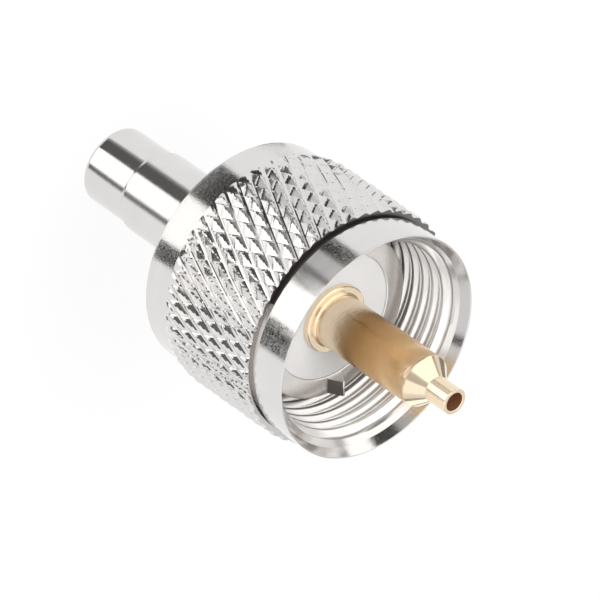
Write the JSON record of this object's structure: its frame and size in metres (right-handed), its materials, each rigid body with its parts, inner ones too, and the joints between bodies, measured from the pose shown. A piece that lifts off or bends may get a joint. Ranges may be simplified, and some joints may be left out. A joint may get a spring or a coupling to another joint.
{
  "type": "uhf connector plug",
  "caption": "Male UHF crimp plug: a knurled coupling nut turns on a flanged body around a gold hollow centre pin, with a white insulator and a stepped crimp ferrule behind.",
  "frame": {"origin": "centre of the ferrule's rear end, on which the plug stands", "axes": "+Z along the plug's axis towards the tip of the centre contact, +X through a locating tooth"},
  "size_m": [0.0184, 0.0184, 0.0373],
  "materials": {
    "nickel_nut": "bright nickel plate",
    "nickel_body": "nickel plate",
    "nickel_ferrule": "polished nickel plate",
    "white_insulator": "turned, satin",
    "gold_contact": "gold plate, satin turned"
  },
  "bodies": {
    "plug": {"plug_body": "nickel_body", "crimp_stem": "nickel_body", "crimp_ferrule": "nickel_ferrule", "insulator": "white_insulator", "centre_contact": "gold_contact"},
    "nut": {"coupling_nut": "nickel_nut"}
  },
  "joints": [
    {"name": "nut_spin", "type": "hinge", "parent": "plug", "child": "nut", "pos_m": [0, 0, 0.0146], "axis": [0, 0, 1], "continuous": true}
  ]
}
